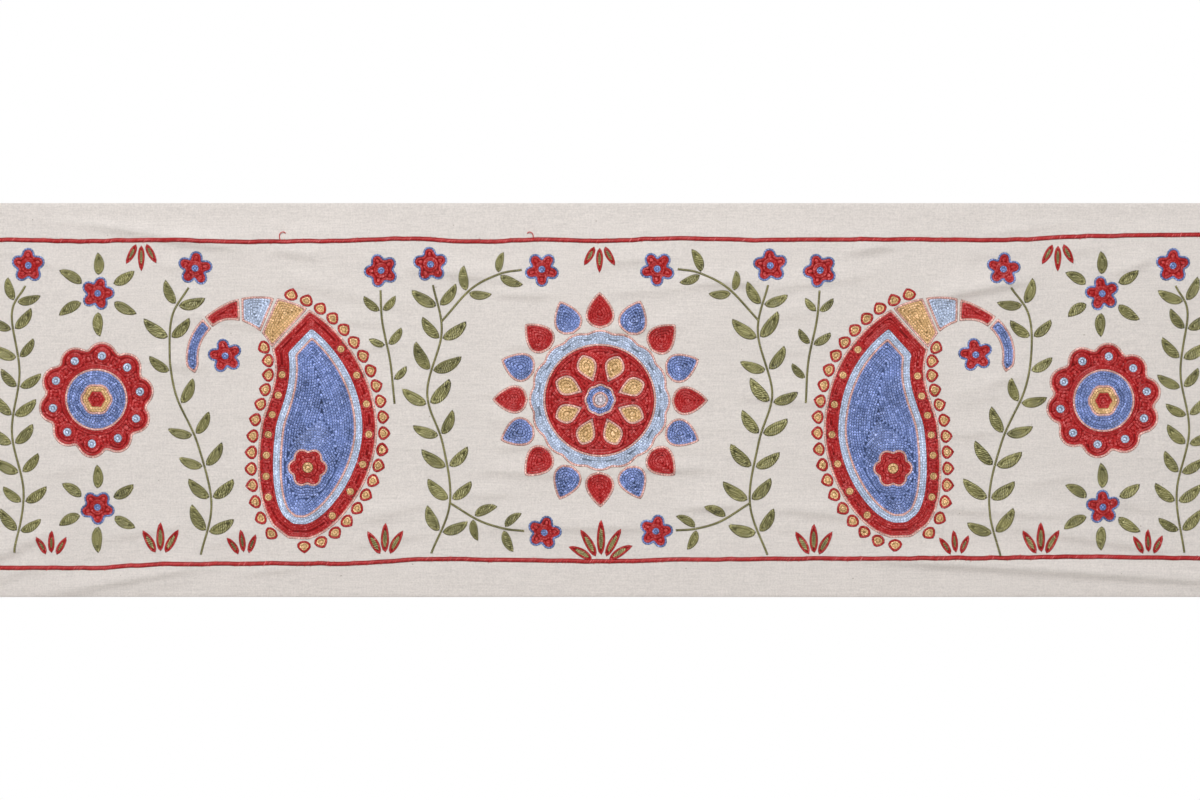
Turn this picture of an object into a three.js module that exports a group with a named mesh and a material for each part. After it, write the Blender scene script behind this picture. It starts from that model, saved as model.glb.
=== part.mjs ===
// Suzani wall hanging: one length of undyed cotton, hemmed on all four sides and hung by its
// top edge. Millimetres, +Z up, +X to the right along the cloth, and the face looks to -Y.
// The origin is the middle of the top edge, on the plane of the wall behind the cloth.

import * as THREE from 'three';

// The cloth, and its hem turned to the back
const clothWidth = 1230;
const clothDrop = 394;
const clothThickness = 1.4;
const hemDepth = 12;
const hemThickness = 2.6;
const hemStep = 1;

// Each border line is a low rib, two rows of chain stitch wide
const ribWidth = 5;
const ribTopWidth = 2.8;
const ribRise = 0.8;

// A slow slack wave, and the band below the top hem over which wave and folds grow
const slackDepth = 2.4;
const slackLength = 460;
const slackLean = 130;
const heldBand = 30;

// The share of a fold's length over which it rises at one end and sinks at the other
const foldFade = 0.3;

// The grid that the two faces of the cloth are made on
const columnPitch = 23;
const rowPitch = 10.6;

const clothColour = 0xe0d9d1;
const clothRoughness = 0.94;

// Where the border lines run: the wander of a line worked by hand
const topBorder = [
  { x: -615, z: -37.0 },
  { x: -340, z: -38.4 },
  { x: -200, z: -36.6 },
  { x: -140, z: -38.0 },
  { x: -60, z: -36.5 },
  { x: 0, z: -38.0 },
  { x: 100, z: -35.6 },
  { x: 210, z: -37.0 },
  { x: 370, z: -36.4 },
  { x: 615, z: -31.6 },
];
const bottomBorder = [
  { x: -615, z: -365.4 },
  { x: -520, z: -364.0 },
  { x: -420, z: -361.4 },
  { x: -260, z: -359.6 },
  { x: -140, z: -356.4 },
  { x: 40, z: -358.2 },
  { x: 170, z: -355.2 },
  { x: 300, z: -355.8 },
  { x: 430, z: -353.4 },
  { x: 615, z: -355.4 },
];

// The main folds: a soft ridge from one place to another, or a trough where its rise is negative
const folds = [
  { name: 'upper left drag', fromX: -640, fromZ: 4, toX: -250, toZ: -56, halfWidth: 10, rise: 4.2 },
  { name: 'upper left corner', fromX: -660, fromZ: -30, toX: -500, toZ: -78, halfWidth: 9, rise: 2.2 },
  { name: 'lower left corner', fromX: -650, fromZ: -368, toX: -520, toZ: -318, halfWidth: 9, rise: 4.4 },
  { name: 'left end pull', fromX: -650, fromZ: -396, toX: -530, toZ: -344, halfWidth: 8, rise: 3.4 },
  { name: 'lower left drag', fromX: -640, fromZ: -400, toX: -150, toZ: -354, halfWidth: 10, rise: 4.8 },
  { name: 'lower right drag', fromX: 230, fromZ: -352, toX: 720, toZ: -384, halfWidth: 10, rise: 5.0 },
  { name: 'upper right drag', fromX: 330, fromZ: -34, toX: 640, toZ: -6, halfWidth: 11, rise: 2.6 },
  { name: 'upper right corner', fromX: 520, fromZ: -74, toX: 670, toZ: -10, halfWidth: 8, rise: 2.4 },
  { name: 'right bough', fromX: 310, fromZ: -94, toX: 450, toZ: -72, halfWidth: 8, rise: 3.0 },
  { name: 'right end pull', fromX: 480, fromZ: -286, toX: 640, toZ: -326, halfWidth: 9, rise: 3.0 },
  { name: 'left of centre, high', fromX: -240, fromZ: -64, toX: -30, toZ: -80, halfWidth: 8, rise: 2.6 },
  { name: 'right of centre, high', fromX: 60, fromZ: -84, toX: 310, toZ: -68, halfWidth: 8, rise: 3.0 },
  { name: 'centre, high', fromX: -10, fromZ: -52, toX: 140, toZ: -50, halfWidth: 7, rise: 2.0 },
  { name: 'centre, third', fromX: -20, fromZ: -126, toX: 120, toZ: -118, halfWidth: 9, rise: 2.2 },
  { name: 'centre, middle', fromX: -30, fromZ: -196, toX: 150, toZ: -188, halfWidth: 12, rise: 2.4 },
  { name: 'right of centre', fromX: 130, fromZ: -192, toX: 270, toZ: -190, halfWidth: 10, rise: 3.0 },
  { name: 'left of centre', fromX: -290, fromZ: -206, toX: -150, toZ: -214, halfWidth: 10, rise: 3.0 },
  { name: 'centre, low', fromX: -150, fromZ: -264, toX: 150, toZ: -258, halfWidth: 8, rise: 3.8 },
  { name: 'foot, centre', fromX: -170, fromZ: -316, toX: 100, toZ: -318, halfWidth: 8, rise: 3.8 },
  { name: 'foot, left', fromX: -300, fromZ: -318, toX: -130, toZ: -294, halfWidth: 8, rise: 3.2 },
  { name: 'foot, right', fromX: 140, fromZ: -300, toX: 300, toZ: -304, halfWidth: 8, rise: 3.2 },
  { name: 'foot, far right', fromX: 260, fromZ: -296, toX: 500, toZ: -308, halfWidth: 8, rise: 3.2 },
  { name: 'crease of the folded cloth', fromX: 60, fromZ: 260, toX: 62, toZ: -660, halfWidth: 12, rise: -1.2 },
];

function smooth(share) {
  const held = Math.min(Math.max(share, 0), 1);
  return held * held * (3 - 2 * held);
}

// The height of a border line at x, eased between the places in its table
function borderHeight(border, x) {
  let k = 0;
  while (k < border.length - 2 && x > border[k + 1].x) {
    k += 1;
  }
  const from = border[k];
  const to = border[k + 1];
  return from.z + (to.z - from.z) * smooth((x - from.x) / (to.x - from.x));
}

function foldRise(fold, x, z) {
  const runX = fold.toX - fold.fromX;
  const runZ = fold.toZ - fold.fromZ;
  const length = Math.hypot(runX, runZ);
  const along = ((x - fold.fromX) * runX + (z - fold.fromZ) * runZ) / length ** 2;
  const across = ((x - fold.fromX) * runZ - (z - fold.fromZ) * runX) / length;
  const ends = smooth(along / foldFade) * smooth((1 - along) / foldFade);
  return fold.rise * ends * Math.exp(-((across / fold.halfWidth) ** 2));
}

// How far the cloth stands out from where its straight top hem holds it
function standOff(x, z) {
  const turn = (2 * Math.PI * (x + (slackLean * z) / clothDrop)) / slackLength;
  let rise = slackDepth * (1 + Math.sin(turn)) / 2;
  for (const fold of folds) {
    rise += foldRise(fold, x, z);
  }
  return Math.max(rise, 0) * smooth((-z - hemDepth) / heldBand);
}

// Columns from left to right. A doubled column lies on a side hem.
function clothColumns() {
  const edge = clothWidth / 2;
  const inner = edge - hemDepth;
  const single = inner - hemStep;
  const cells = Math.round((2 * single) / columnPitch);
  const columns = [{ x: -edge, doubled: true }, { x: -inner, doubled: true }];
  for (let i = 0; i <= cells; i += 1) {
    columns.push({ x: -single + (2 * single * i) / cells, doubled: false });
  }
  columns.push({ x: inner, doubled: true }, { x: edge, doubled: true });
  return columns;
}

// The lines from edge to edge that rows are spread between, with the rib's rise on each
function rowRails() {
  const level = (z, doubled) => ({ height: () => z, doubled, rib: 0 });
  const besideBorder = (border, offset, rib) => (
    { height: (x) => borderHeight(border, x) + offset, doubled: false, rib }
  );
  const borderRails = (border) => [
    besideBorder(border, ribWidth / 2, 0),
    besideBorder(border, ribTopWidth / 2, ribRise),
    besideBorder(border, -ribTopWidth / 2, ribRise),
    besideBorder(border, -ribWidth / 2, 0),
  ];
  return [
    level(0, true),
    level(-hemDepth, true),
    level(-hemDepth - hemStep, false),
    ...borderRails(topBorder),
    ...borderRails(bottomBorder),
    level(-clothDrop + hemDepth + hemStep, false),
    level(-clothDrop + hemDepth, true),
    level(-clothDrop, true),
  ];
}

// Rows from top to bottom: the rails, and even rows between two rails that lie far apart
function clothRows() {
  const rails = rowRails();
  const rows = [rails[0]];
  for (let k = 1; k < rails.length; k += 1) {
    const above = rails[k - 1];
    const below = rails[k];
    const cells = Math.max(1, Math.round((above.height(0) - below.height(0)) / rowPitch));
    for (let step = 1; step < cells; step += 1) {
      const share = step / cells;
      const height = (x) => above.height(x) * (1 - share) + below.height(x) * share;
      rows.push({ height, doubled: false, rib: 0 });
    }
    rows.push(below);
  }
  return rows;
}

// The outline of the grid as steps of column and row, anticlockwise as seen from the front
function gridRim(columnCount, rowCount) {
  const rim = [];
  for (let row = 0; row < rowCount - 1; row += 1) rim.push([0, row]);
  for (let column = 0; column < columnCount - 1; column += 1) rim.push([column, rowCount - 1]);
  for (let row = rowCount - 1; row > 0; row -= 1) rim.push([columnCount - 1, row]);
  for (let column = columnCount - 1; column > 0; column -= 1) rim.push([column, 0]);
  return rim;
}

function clothGeometry() {
  const columns = clothColumns();
  const rows = clothRows();
  const front = [];
  const back = [];
  for (const row of rows) {
    for (const column of columns) {
      const z = row.height(column.x);
      const out = standOff(column.x, z);
      const doubled = row.doubled || column.doubled;
      front.push(column.x, -hemThickness - out - row.rib, z);
      back.push(column.x, (doubled ? 0 : clothThickness - hemThickness) - out, z);
    }
  }

  const backStart = columns.length * rows.length;
  const place = (column, row) => row * columns.length + column;
  const faces = [];
  for (let row = 0; row < rows.length - 1; row += 1) {
    for (let column = 0; column < columns.length - 1; column += 1) {
      const topLeft = place(column, row);
      const topRight = place(column + 1, row);
      const lowLeft = place(column, row + 1);
      const lowRight = place(column + 1, row + 1);
      faces.push(topLeft, lowLeft, lowRight, topLeft, lowRight, topRight);
      const [a, b, c, d] = [topLeft, topRight, lowLeft, lowRight].map((k) => k + backStart);
      faces.push(a, d, c, a, b, d);
    }
  }

  const rim = gridRim(columns.length, rows.length);
  rim.forEach((here, k) => {
    const p = place(...here);
    const q = place(...rim[(k + 1) % rim.length]);
    faces.push(p, p + backStart, q, p + backStart, q + backStart, q);
  });

  const geometry = new THREE.BufferGeometry();
  geometry.setAttribute('position', new THREE.Float32BufferAttribute([...front, ...back], 3));
  geometry.setIndex(faces);
  geometry.computeVertexNormals();
  return geometry;
}

function buildHanging() {
  const cotton = new THREE.MeshStandardMaterial({
    color: clothColour,
    roughness: clothRoughness,
    metalness: 0,
  });
  const cloth = new THREE.Mesh(clothGeometry(), cotton);
  cloth.name = 'cloth';
  const hanging = new THREE.Group();
  hanging.add(cloth);
  return hanging;
}

export default buildHanging();
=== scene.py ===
"""Suzani wall hanging: undyed cotton with a turned hem, worked in coloured chain stitch.

Everything is in metres, and places on the cloth are (x, z) as it hangs. The frame's cloth gives
the width and the drop. A pattern is a list of works (areas and lines). Works become rows of
stitch ends on the flat cloth, and rows become meshes that lie on its folds.
"""
import math
from collections import namedtuple
from functools import lru_cache

import bpy
import numpy as np
from bpy.props import FloatProperty, FloatVectorProperty, PointerProperty
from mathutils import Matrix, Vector


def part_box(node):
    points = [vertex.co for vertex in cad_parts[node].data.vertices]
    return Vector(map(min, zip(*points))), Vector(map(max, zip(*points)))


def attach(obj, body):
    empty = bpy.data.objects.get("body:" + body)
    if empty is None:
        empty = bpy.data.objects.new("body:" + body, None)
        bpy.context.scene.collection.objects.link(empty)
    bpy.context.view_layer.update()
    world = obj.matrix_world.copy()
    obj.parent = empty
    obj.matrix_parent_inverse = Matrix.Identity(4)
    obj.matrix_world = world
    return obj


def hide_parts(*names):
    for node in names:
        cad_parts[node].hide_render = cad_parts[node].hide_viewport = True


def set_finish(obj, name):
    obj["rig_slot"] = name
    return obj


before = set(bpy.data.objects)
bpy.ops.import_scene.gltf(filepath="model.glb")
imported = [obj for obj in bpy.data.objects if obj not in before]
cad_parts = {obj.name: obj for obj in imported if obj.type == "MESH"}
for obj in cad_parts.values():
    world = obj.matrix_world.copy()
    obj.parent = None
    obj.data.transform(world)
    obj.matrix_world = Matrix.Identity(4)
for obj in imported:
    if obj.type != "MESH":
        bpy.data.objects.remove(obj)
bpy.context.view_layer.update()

bl_info = {
    "name": "Suzani wall hanging",
    "version": (1, 0, 0),
    "blender": (4, 5, 0),
    "location": "View3D > Sidebar > Suzani",
    "description": "Builds an embroidered cotton hanging around its packed frame",
    "category": "Object",
}

MM = 0.001
SEED = 11

CLOTH_LOW, CLOTH_HIGH = (Vector(corner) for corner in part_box("cloth"))
HALF_WIDTH = CLOTH_HIGH.x
DROP = -CLOTH_LOW.z

# The photograph's frame, and the row of the cloth's top edge in it, at 1 mm to the pixel
PHOTO_SIZE = (1200, 800)
PIXEL = 1 * MM
TOP_EDGE_ROW = 203
CAMERA_LENS = 85
CAMERA_SENSOR = 36

# How far the hem's face stands in front of the wall, and how many layers thick the hem is
FACE_OUT = 2.6 * MM
HEM_LAYERS = 2.1

# The pitches of the cloth's grid across and up
COLUMN_PITCH = 8 * MM
ROW_PITCH = 2.2 * MM

# The slack wave and its lean over the drop, and the band below the top hem where wave and folds grow
SLACK_DEPTH = 2.4 * MM
SLACK_LENGTH = 460 * MM
SLACK_LEAN = 130 * MM
HELD_BAND = 24 * MM

# Each fold as (from x, from z, to x, to z, half width, rise) in mm. A negative rise is a trough.
# A fold fades over a share of its length at both ends, and is this much wider on its left
FOLD_FADE = 0.3
LEFT_SPREAD = 2.4
FOLDS = (
    (-636, 1, -414, -34, 5.5, 6.5), (-449, -34, -356, -45, 5, 4.1),
    (-334, -45, -276, -56, 4.5, 2.8), (-622, -364, -544, -324, 5, 5.0),
    (-620, -381, -551, -359, 4.5, 2.7), (-572, -394, -393, -362, 5, 4.4),
    (215, -352, 700, -383, 5, 4.8), (326, -96, 442, -74, 5, 4.4), (159, -303, 261, -314, 5, 3.2),
    (306, -302, 494, -315, 4.5, 2.7), (-204, -64, -98, -75, 5, 3.2), (76, -81, 172, -78, 5, 3.6),
    (244, -50, 297, -41, 4.5, 3.7), (510, -74, 558, -51, 5, 3.7), (20, -265, 118, -266, 5, 3.5),
    (-137, -323, 92, -323, 6, 3.2), (130, -189, 250, -203, 6, 3.0), (-144, -266, 12, -272, 5, 2.6),
    (-20, -128, 101, -122, 5, 2.7), (373, -317, 602, -352, 5, 2.8), (497, -290, 559, -311, 5, 2.8),
    (-446, -369, -369, -360, 6, 1.4), (-362, -371, -294, -363, 4, 2.3),
    (-477, -389, -403, -374, 4, 1.6), (-513, -339, -401, -318, 5, 2.1),
    (-409, -346, -347, -332, 4.5, 1.6), (-380, -334, -342, -325, 4, 1.4),
    (-342, -330, -294, -323, 4, 1.4), (-262, -319, -171, -312, 5, 1.4),
    (-241, -317, -169, -297, 4.5, 2.1), (-255, -344, -164, -327, 5, 2.1),
    (290, -302, 338, -305, 4.5, 2.2), (290, -317, 349, -329, 4.5, 1.9),
    (160, -321, 243, -332, 5, 1.4), (520, -321, 560, -330, 4, 1.3), (91, -306, 135, -301, 4.5, 1.9),
    (-610, -43, -522, -68, 4.5, 1.9), (-454, -58, -386, -71, 5, 1.4),
    (-335, -72, -165, -110, 5.5, 1.6), (138, -90, 294, -68, 5, 2.1), (372, -33, 508, -10, 5, 2.6),
    (344, -55, 430, -48, 5, 1.3), (456, -54, 496, -42, 4.5, 1.6), (-114, -78, -64, -74, 4.5, 2.2),
    (-115, -90, -42, -93, 4.5, 2.6), (-96, -143, -44, -141, 4.5, 2.2),
    (-129, -191, -55, -186, 4.5, 1.6), (-10, -58, 86, -56, 5, 2.2), (0, -90, 96, -84, 5, 1.6),
    (-114, -216, -66, -216, 4.5, 2.1), (-114, -222, -64, -227, 4.5, 1.4),
    (-113, -244, -39, -241, 5, 2.2), (-148, -292, -80, -290, 4.5, 1.9),
    (64, -305, 141, -302, 4.5, 2.2), (25, -222, 117, -225, 5, 1.6), (39, -245, 113, -248, 5, 1.9),
    (39, -202, 113, -204, 5, 1.3), (10, -192, 60, -204, 5, 1.3), (-286, -116, -190, -122, 5, 1.3),
    (-274, -147, -186, -140, 4.5, 1.6), (-461, -154, -389, -168, 4.5, 2.2),
    (-452, -107, -306, -128, 5, 1.4), (-553, -278, -519, -258, 4.5, 1.9),
    (-277, -177, -155, -184, 5, 1.1), (278, -201, 336, -189, 4.5, 1.8),
    (343, -194, 435, -169, 4.5, 1.9), (350, -201, 408, -189, 4.5, 1.6),
    (341, -232, 405, -228, 4.5, 1.9), (154, -114, 232, -108, 5, 1.3),
    (164, -145, 212, -150, 4.5, 1.3), (415, -284, 487, -269, 4.5, 1.4),
    (-352, -194, -319, -192, 4.5, 1.3), (60, 260, 62, -660, 12, -1.2),
)

# Fine unevenness of the cloth: (width, height, depth) of its patches
FINE_WRINKLES = (
    (120 * MM, 17 * MM, 0.34 * MM),
    (70 * MM, 9 * MM, 0.14 * MM),
    (24 * MM, 15 * MM, 0.16 * MM),
)

# Heights of the border lines, as (x, z) in mm
TOP_BORDER = (
    (-615, -37.0), (-340, -38.4), (-200, -36.6), (-140, -38.0), (-60, -36.5),
    (0, -38.0), (100, -35.6), (210, -37.0), (370, -36.4), (615, -31.6),
)
BOTTOM_BORDER = (
    (-615, -365.4), (-520, -364.0), (-420, -361.4), (-260, -359.6), (-140, -356.4),
    (40, -358.2), (170, -355.2), (300, -355.8), (430, -353.4), (615, -355.4),
)

# Where vines, flowers and tufts grow on the right half, in mm. The left half mirrors it.
Flower = namedtuple("Flower", "x z turn")
Vine = namedtuple("Vine", "knots leaf_pairs leaf_length start")
Posy = namedtuple("Posy", "x z leaves leaf_length")
Tuft = namedtuple("Tuft", "x z heading size blades")
FLOWERS = (
    Flower(170, -62, 0.4),
    Flower(58, -66, 0.9),
    Flower(56, -329, 0.1),
    Flower(404, -66, 0.2),
    Flower(219, -68, 0.7),
    Flower(572, -62, 0.3),
    Flower(375, -152, 0.5),
)
VINES = (
    Vine(((168, -351), (150, -300), (158, -240), (172, -190), (158, -130), (168, -82)), 8, 31, 0.04),
    Vine(((151, -300), (122, -318), (96, -326), (76, -328)), 2, 25, 0.2),
    Vine(((159, -118), (130, -86), (100, -70), (78, -66)), 2, 25, 0.25),
    Vine(((400, -352), (388, -300), (402, -240), (424, -190), (431, -148), (428, -112), (411, -85)),
         8, 30, 0.04),
    Vine(((584, -350), (577, -290), (588, -230), (580, -170), (588, -110), (575, -82)), 9, 28, 0.04),
    Vine(((205, -200), (209, -160), (217, -120), (219, -88)), 3, 22, 0.1),
)
POSIES = (
    Posy(503, -91, 6, 26),
    Posy(503, -304, 6, 26),
)
TUFTS = (
    Tuft(440, -359, 90, 32, 3),
    Tuft(458, -33, 270, 27, 3),
    Tuft(214, -360, 90, 32, 3),
    Tuft(548, -360, 90, 25, 3),
    Tuft(356, -360, 96, 25, 3),
)
MIDDLE_TUFTS = (
    Tuft(0, -362, 90, 38, 5),
    Tuft(0, -35, 270, 27, 3),
)

# A closed area: its outline, gaps with an edge of their own, and plain gaps without one, the
# threads of its fill and of the rows along its edge, and a share that narrows its rows
Area = namedtuple("Area", "loops plain fill edge edge_rows row_share")
Line = namedtuple("Line", "points thread pitch row_share slant")
# Stitches worked one after another: their ends, thread and width, and how they slant to the row
Row = namedtuple("Row", "ends thread width slant")

# A small shape to copy, in shares of a stitch, and a part of a piece: cells are where its faces
# lie in the map for the bake, those that look to the room and those that look to the wall
Model = namedtuple("Model", "points faces uvs")
Part = namedtuple("Part", "points faces slots tones uvs cells")
CELL_COUNT = 4
BAKE_MARGIN = 0.01
FACE_CELLS = (0, 3)
BED_CELLS = (1, 3)
BACK_CELLS = (3, 2)

HALVES = (("left", -1), ("right", 1))
DEPTH_STEP = 0.9 * MM  # the pitch of the grid that holds the depths within an area
RING_STEP = 0.75 * MM  # a large ring is drawn with one side for each such step of its radius
FLOWER_RADIUS = 17.5 * MM
LEAF_CLEARANCE = 0.7 * MM

# The widths of leaves as shares of their length, and the most that one of a tuft has
VINE_LEAF = 0.37
POSY_LEAF = 0.4
TUFT_LEAF = 0.26
WIDEST_TUFT_LEAF = 8.4 * MM

# The widths of rows as shares of the usual one. Rows may widen to the last of them to fill an area
OUTLINE_SHARE = 0.74
STEM_SHARE = 0.82
BORDER_SHARE = 1.65
WIDEST_SHARE = 1.25

# How far the border lines wander up and down, and stop short of the cloth's ends
BORDER_WANDER = 0.4 * MM
BORDER_STOP = 3 * MM

# Leaves, stems and borders are worked in single strands that slant to their rows, by an angle in
# radians. Their length and width are shares of the row's width
LEAF_THREAD = "olive"
SLANT = 0.9
SLANT_REACH = 1.7
STRAND_WIDTH = 0.46

LEAST_ROUND = 8  # stitches in a small ring, where its length allows stitches half as long
NARROW = 0.4  # a ring narrower than this share of its rows is worked as one row down its middle
CORNER_REACH = 1.8 * MM
CORNER_TURN = 0.95  # radians over that reach to both sides

# The width of one strand of a chain stitch in row widths, the share by which stitches overlap the
# next, and the share of its step that a straight run of thread spans
LOOP_STRAND = 0.52
STITCH_OVERLAP = 0.24
RUN_LENGTH = 0.94

# What a hand varies: where lines run, the turn of a stitch in radians, its length, its place in
# row widths, and its height
HAND_DRIFT = 0.7 * MM
HAND_TURN = 0.09
HAND_LENGTH = 0.1
HAND_SHIFT = 0.05
HAND_HEIGHT = 0.08

# Tones of thread: the dye's own, how they vary from row to row and from stitch to stitch, the
# painted shade that darkens down the sides of a stitch and the painted highlight over its top, the
# painted shade of the beds between rows, and the tone of the back
OWN_TONE = 0.5
ROW_TONE = 0.06
STITCH_TONE = 0.3
# painted shade down the sides of a stitch and painted highlight over its top, by its height
PAINTED_DEPTH_SHADE = 2
# painted shade: the low tone of the beds in the gaps between rows
PAINTED_BED_SHADE = -0.05
BACK_TONE = 0.45

# Hand dyeing and painted shade: the depth of the dye's patches, how far pale thread and the painted
# highlight on stitch tops lose colour, and for each dye how strongly dye and painted shade vary it
DYE_PATCHES = 0.6
FADING_AND_PAINTED_HIGHLIGHT = -0.22
USUAL_DYE_AND_SHADE_STRENGTH = 0.95
DYE_AND_SHADE_STRENGTH = {"mid_blue": 1.25, "olive": 1.3, "crimson": 0.75, "hem": 0.2}

# Beds of thread under the rows: their reach to both sides in rows, and heights across them
OUTER_BED = 0.55
DEEPER_BED = 1.25
BED_HEIGHTS = (0.24 * MM, 0.46 * MM, 0.3 * MM)
MOST_MITRE = 1.4  # how much wider they may be at a sharp turn

# On the back, a run of thread spans this many stitches, and its width is a share of a row's
BACK_STEP = 3
BACK_WIDTH = 0.55

# A hem stitch: how far it reaches out over the hem, in from it and along it, and its width
HEM_STITCH_OUT = 1.1 * MM
HEM_STITCH_IN = 1.9 * MM
HEM_STITCH_ALONG = 2.2 * MM
HEM_STITCH_WIDTH = 0.9 * MM

# Loose ends of thread: (x, z, side) in mm, and their curl as (x, z, rise) in mm
TAIL_PLACES = ((-319, -36, -1), (-68, -36, 1))
TAIL_CURL = ((0, -2, 0.3), (1.2, 1.6, 1.0), (0.6, 5.2, 1.5), (-2.4, 7, 1.3), (-5, 5.6, 0.6))
TAIL_RADIUS = 0.42 * MM
TAIL_SIDES = 6
TAIL_TIP = 0.4  # the radius of its tip, as a share

# What the cotton's relief and its shade are made of, as shares, and its seed flecks
WEAVE_RELIEF = 0.5
WARP_SLUBS = 0.6
WEFT_SLUBS = 1.4
PUCKER_RELIEF = 1.8
LEAST_SHADE = 0.617
GRAIN_SHADE = 0.33
SLUB_SHADE = 0.17
WEAR_SHADE = 0.06
FLECK_CELLS = 55  # to the metre
FLECK_RADIUS = 0.035  # in cells
CELLS_WITHOUT = 0.6  # the share of cells that have no fleck
FLECK_STRENGTH = 0.6

# Lamps as (name, place, size), and the floor's size and place in front, in metres
LAMPS = (
    ("key", (-0.4, -2.6, 2.2), 1.3),
    ("fill", (0.5, -2.6, 0.1), 2.4),
    ("rear", (-0.9, 2.2, 0.9), 2.4),
)
FLOOR_SIZE = 6
FLOOR_FORWARD = 1.5


def lamp_setting(name, power):
    return FloatProperty(name=name, description="Power in watts", default=power, min=0)


def colour_setting(name, red, green, blue):
    """A colour property whose default is given as it shows on a screen, from 0 to 255."""
    linear = [((c / 255 + 0.055) / 1.055) ** 2.4 for c in (red, green, blue)]
    return FloatVectorProperty(name=name, description=name, subtype="COLOR", size=3, min=0, max=1,
                               default=linear)


def length_setting(name, description, metres):
    return FloatProperty(name=name, description=description, unit="LENGTH", default=metres,
                         min=0, precision=5)


class SuzaniClothSettings(bpy.types.PropertyGroup):
    """The cotton ground and its hem."""

    thickness: length_setting("Cloth thickness", "Thickness of one layer of cotton", 1.15 * MM)
    hem_depth: length_setting("Hem depth", "How far the edge is turned to the back", 12 * MM)
    weave_pitch: length_setting("Weave pitch", "From one thread of the weave to the next", 0.75 * MM)
    cotton: colour_setting("Cotton", 226, 219, 214)
    fleck: colour_setting("Seed flecks", 120, 98, 78)


class SuzaniStitchSettings(bpy.types.PropertyGroup):
    """Chain stitch in fills, outlines and border lines."""

    row_width: length_setting("Row width", "Width of one row of chain stitch", 2.38 * MM)
    pitch: length_setting("Stitch length", "From one chain stitch to the next in a fill", 2.75 * MM)
    leaf_pitch: length_setting("Leaf stitch spacing", "Between strands of leaves", 2.1 * MM)
    border_pitch: length_setting("Border stitch spacing", "Between strands of a border", 2.6 * MM)
    height: length_setting("Stitch height", "How far a stitch stands off the cloth", 1.25 * MM)
    hem_pitch: length_setting("Hem stitch spacing", "From one hem stitch to the next", 7 * MM)


class SuzaniThreadSettings(bpy.types.PropertyGroup):
    """The dyed threads."""

    crimson: colour_setting("Crimson thread", 199, 0, 8)
    mid_blue: colour_setting("Mid blue thread", 139, 161, 224)
    light_blue: colour_setting("Light blue thread", 208, 222, 248)
    peach: colour_setting("Peach thread", 251, 198, 188)
    gold: colour_setting("Gold thread", 242, 199, 143)
    olive: colour_setting("Olive thread", 178, 173, 113)
    pale_pink: colour_setting("Pale pink thread", 234, 222, 230)
    hem: colour_setting("Hem thread", 232, 226, 216)


class SuzaniStageSettings(bpy.types.PropertyGroup):
    """The studio around the hanging."""

    key_power: lamp_setting("Key light", 88)
    fill_power: lamp_setting("Fill light", 5.2)
    rear_power: lamp_setting("Rear light", 30)
    sky: FloatProperty(name="Sky", description="Light from all round", default=0.3, min=0)
    floor_drop: length_setting("Floor below", "From the foot of the cloth to the floor", 760 * MM)
    floor: colour_setting("Floor", 236, 234, 231)


# The hanging cloth

def smooth(share):
    """Eases a share from 0 to 1, and holds it there past both ends."""
    held = np.clip(share, 0, 1)
    return held * held * (3 - 2 * held)


def fold_rise(x, z):
    """How far all folds together lift the cloth at each place."""
    rise = np.zeros_like(x)
    for fold in FOLDS:
        from_x, from_z, to_x, to_z, half_width, height = (value * MM for value in fold)
        run_x, run_z = to_x - from_x, to_z - from_z
        run = math.hypot(run_x, run_z)
        along = ((x - from_x) * run_x + (z - from_z) * run_z) / run**2
        across = ((x - from_x) * run_z - (z - from_z) * run_x) / run
        ends = smooth(along / FOLD_FADE) * smooth((1 - along) / FOLD_FADE)
        reach = half_width * np.where(across > 0, 1, LEFT_SPREAD)
        rise += height * ends * np.exp(-((across / reach) ** 2))
    return rise


def patchy(x, z, patch_width, patch_height, seed):
    """Smooth noise from -1 to 1 whose patches have a width and a height."""
    columns = int(2 * HALF_WIDTH / patch_width) + 3
    rows = int(DROP / patch_height) + 3
    corners = np.random.default_rng(seed).uniform(-1, 1, (columns, rows))
    past_next = 1.001  # keeps the next corner within the grid
    across = np.clip((x + HALF_WIDTH) / patch_width, 0, columns - past_next)
    down = np.clip(-z / patch_height, 0, rows - past_next)
    i, j = across.astype(int), down.astype(int)
    share_x, share_z = smooth(across - i), smooth(down - j)
    upper = corners[i, j] * (1 - share_x) + corners[i + 1, j] * share_x
    lower = corners[i, j + 1] * (1 - share_x) + corners[i + 1, j + 1] * share_x
    return upper * (1 - share_z) + lower * share_z


def folded_y(x, z, hem_depth):
    """Where folds and slack bring the face of the cloth: forward, to -Y."""
    turn = 2 * math.pi * (x + SLACK_LEAN * z / DROP) / SLACK_LENGTH
    rise = SLACK_DEPTH * (1 + np.sin(turn)) / 2
    rise += fold_rise(x, z)
    for seed, (patch_width, patch_height, depth) in enumerate(FINE_WRINKLES):
        rise += depth * patchy(x, z, patch_width, patch_height, SEED + seed)
    return -FACE_OUT - np.maximum(rise, 0) * smooth((-z - hem_depth) / HELD_BAND)


def grid_marks(low, high, near_edges, pitch):
    """Marks from low to high: close ones by both edges, and even ones between."""
    first, last = low + near_edges[-1], high - near_edges[-1]
    count = round((last - first) / pitch)
    between = np.linspace(first, last, count + 1)[1:-1]
    return np.concatenate([low + near_edges, between, (high - near_edges)[::-1]])


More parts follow.
